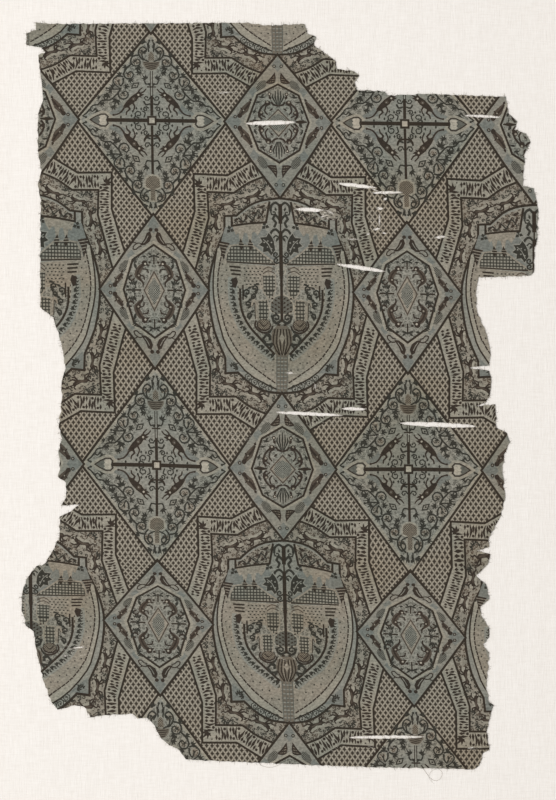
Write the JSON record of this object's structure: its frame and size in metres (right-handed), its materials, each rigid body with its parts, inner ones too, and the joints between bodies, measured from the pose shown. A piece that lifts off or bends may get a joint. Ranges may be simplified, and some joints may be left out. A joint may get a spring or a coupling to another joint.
{
  "type": "lampas silk fragment mounted in a wooden frame",
  "caption": "Torn fragment of lampas-woven silk laid flat on a linen-covered mount board, held in a plain narrow wooden frame.",
  "frame": {"origin": "middle of the frame's back face, on the surface that it lies on", "axes": "+X to the fragment's right and +Y to its upper end, both seen from the front; +Z out of the woven face"},
  "size_m": [0.58, 0.8, 0.025],
  "materials": {
    "lampas_silk": "matt aged silk, dark brown line pattern on blue-grey and pale grey-beige",
    "mount_linen": "fine plain-woven off-white linen",
    "mount_board": "plain acid-free board",
    "frame_wood": "pale hardwood, satin"
  },
  "bodies": {
    "root": {"silk_fragment": "lampas_silk", "linen_cover": "mount_linen", "mount_board": "mount_board", "frame_left": "frame_wood", "frame_right": "frame_wood", "frame_top": "frame_wood", "frame_bottom": "frame_wood"}
  },
  "joints": []
}
